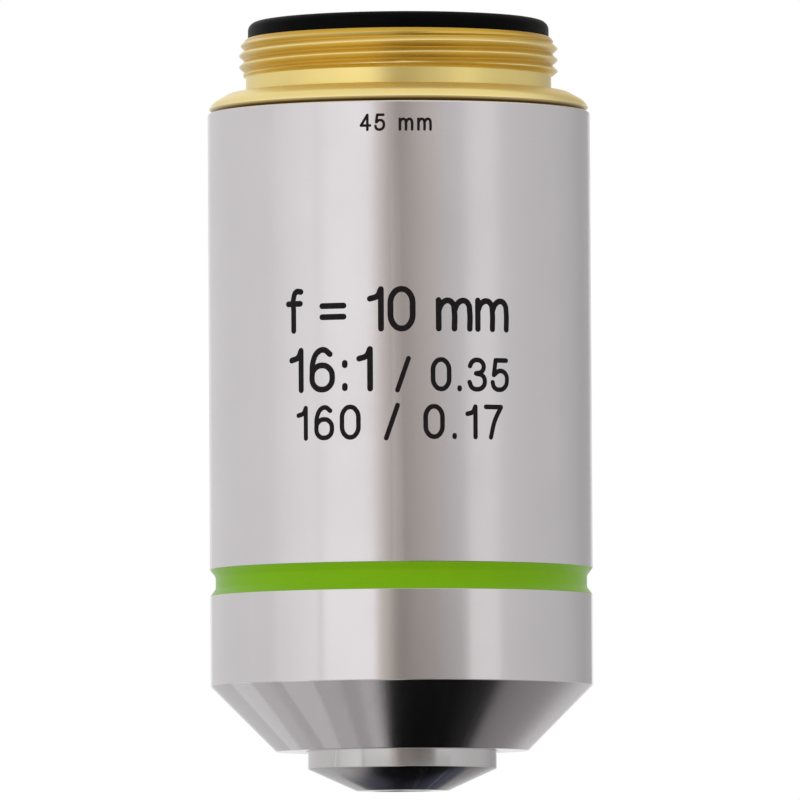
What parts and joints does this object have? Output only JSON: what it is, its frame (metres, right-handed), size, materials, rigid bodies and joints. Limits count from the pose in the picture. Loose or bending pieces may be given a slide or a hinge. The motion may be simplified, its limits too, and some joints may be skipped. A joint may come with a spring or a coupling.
{
  "type": "microscope objective",
  "caption": "Turned microscope objective with a brass mounting thread, satin metal sleeves, a green colour ring and a sprung nose that holds the lenses.",
  "frame": {"origin": "centre of the shoulder that seats in the nosepiece, on the optical axis", "axes": "+Z along the optical axis towards the mounting thread, so the front lens is at -Z; +X to the right and +Y away from the viewer of the marked side"},
  "size_m": [0.024, 0.024, 0.0482],
  "materials": {
    "brass": "fine turned, lightly lacquered",
    "satin_nickel": "satin nickel, turned round the axis",
    "nose_metal": "bright turned",
    "green_enamel": "glossy enamel",
    "black_anodised": "semi-matt black anodised",
    "cell_black": "chemically blackened",
    "lens_glass": "polished and coated",
    "spring_steel": "bright drawn",
    "screw_steel": "blackened"
  },
  "bodies": {
    "mount": {"mount_barrel": "brass", "barrel_sleeve": "satin_nickel", "colour_ring": "green_enamel", "front_sleeve": "satin_nickel", "rear_ring": "black_anodised", "guide_screw": "screw_steel", "return_spring": "spring_steel"},
    "lens_unit": {"front_cell": "nose_metal", "lens_tube": "black_anodised", "second_cell": "cell_black", "third_cell": "cell_black", "fourth_cell": "cell_black", "fifth_cell": "cell_black", "rear_cell": "cell_black", "spacer_one": "cell_black", "spacer_two": "cell_black", "spacer_three": "cell_black", "aperture_stop": "cell_black", "lock_ring": "cell_black", "front_lens": "lens_glass", "second_lens": "lens_glass", "third_crown": "lens_glass", "third_flint": "lens_glass", "fourth_flint": "lens_glass", "fourth_crown": "lens_glass", "fifth_crown": "lens_glass", "fifth_flint": "lens_glass", "rear_lens": "lens_glass"}
  },
  "joints": [
    {"name": "nose_retraction", "type": "slide", "parent": "mount", "child": "lens_unit", "axis": [0, 0, 1], "range_m": [0, 0.0018], "stiffness_N_per_m": 250, "springref_m": -0.005, "deforming": ["return_spring"]}
  ]
}
